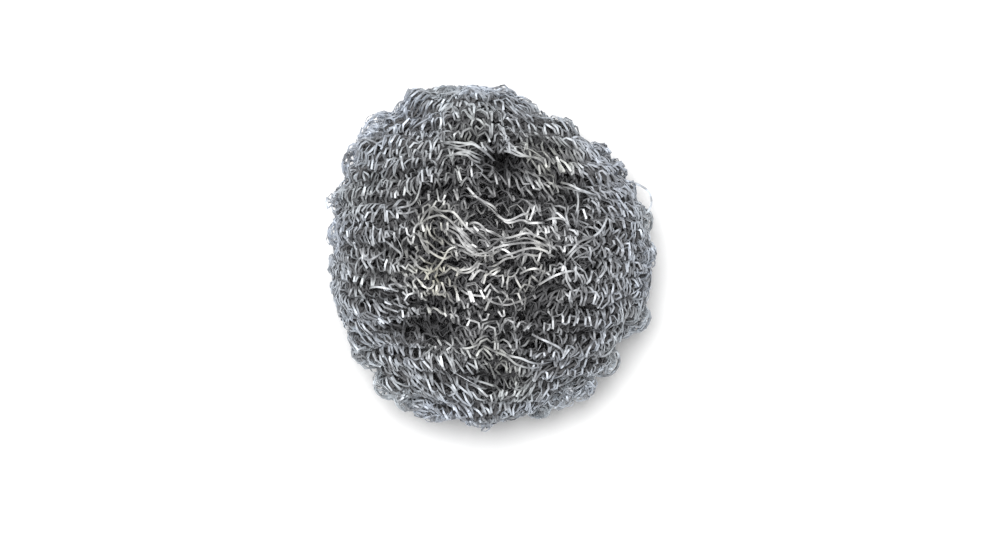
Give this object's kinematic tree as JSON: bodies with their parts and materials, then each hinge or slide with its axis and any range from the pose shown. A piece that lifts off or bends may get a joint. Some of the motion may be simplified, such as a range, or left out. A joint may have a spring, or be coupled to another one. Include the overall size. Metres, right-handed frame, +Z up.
{
  "type": "pot scourer",
  "caption": "Round soft pot scourer: a sleeve of knitted galvanised wire gathered into folds and packed into a squat pad, with a swirl and pits on its upper face.",
  "frame": {"origin": "on the surface that the pad rests on, below the middle of its bounding box", "axes": "+Z up through the pad's thickness, +Y along the axis of the rolled sleeve, +X along the ridges of its folds"},
  "size_m": [0.08, 0.084, 0.036],
  "materials": {
    "galvanised_wire": "dull zinc coating on flat-rolled wire, knitted"
  },
  "bodies": {
    "root": {"knitted_wire_pad": "galvanised_wire"}
  },
  "joints": []
}
